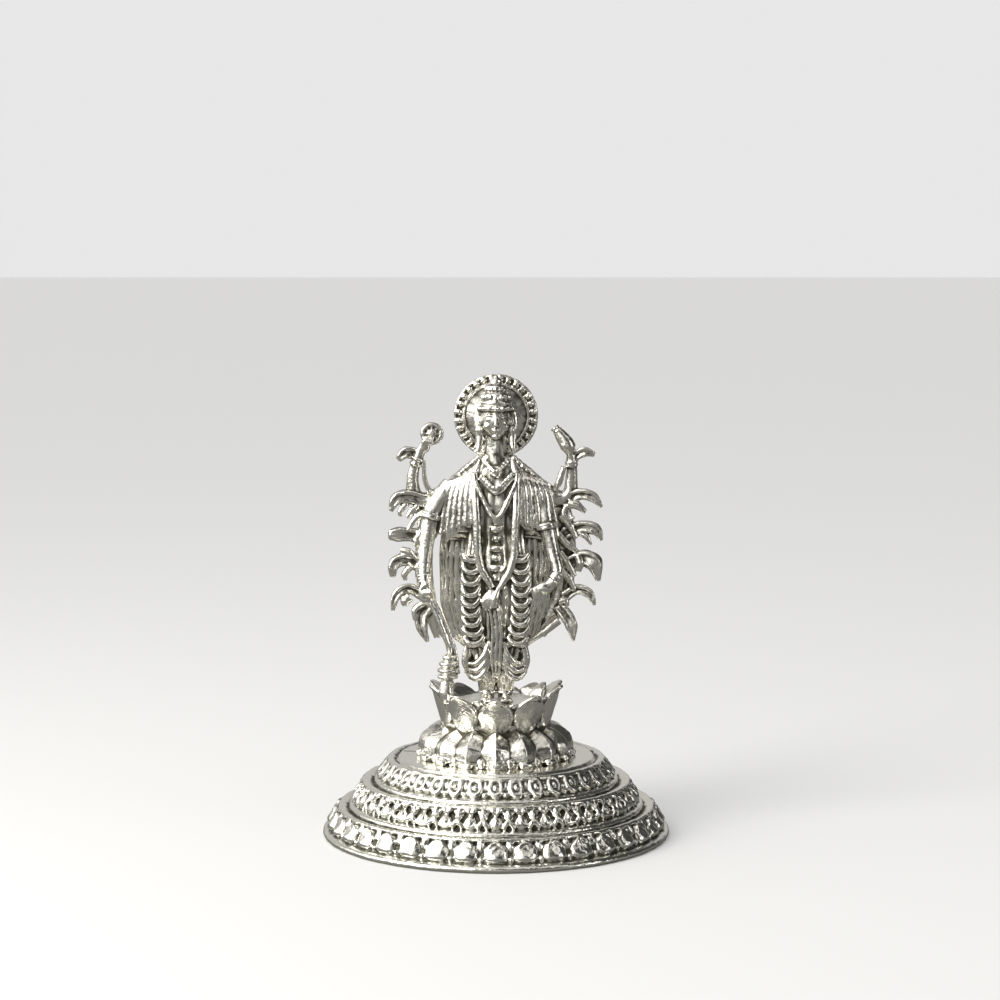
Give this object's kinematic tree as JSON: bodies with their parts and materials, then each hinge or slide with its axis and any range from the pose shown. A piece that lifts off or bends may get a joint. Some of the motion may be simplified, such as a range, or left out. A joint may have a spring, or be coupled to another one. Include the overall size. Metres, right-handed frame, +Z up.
{
  "type": "satyanarayana idol",
  "caption": "Cast silver-tone figure of a standing four-armed deity with a halo, on an open lotus and a round relief plinth.",
  "frame": {"origin": "middle of the plinth's flat underside", "axes": "+Z up through the figure, the figure faces -Y, +X to the right of a viewer in front of it"},
  "size_m": [0.0756, 0.0756, 0.1],
  "materials": {
    "idol_silver": "polished cast silver tone, darkened in the hollows",
    "plinth_silver": "polished cast silver tone with darkened relief ground"
  },
  "bodies": {
    "root": {"plinth": "plinth_silver", "idol": "idol_silver"}
  },
  "joints": []
}
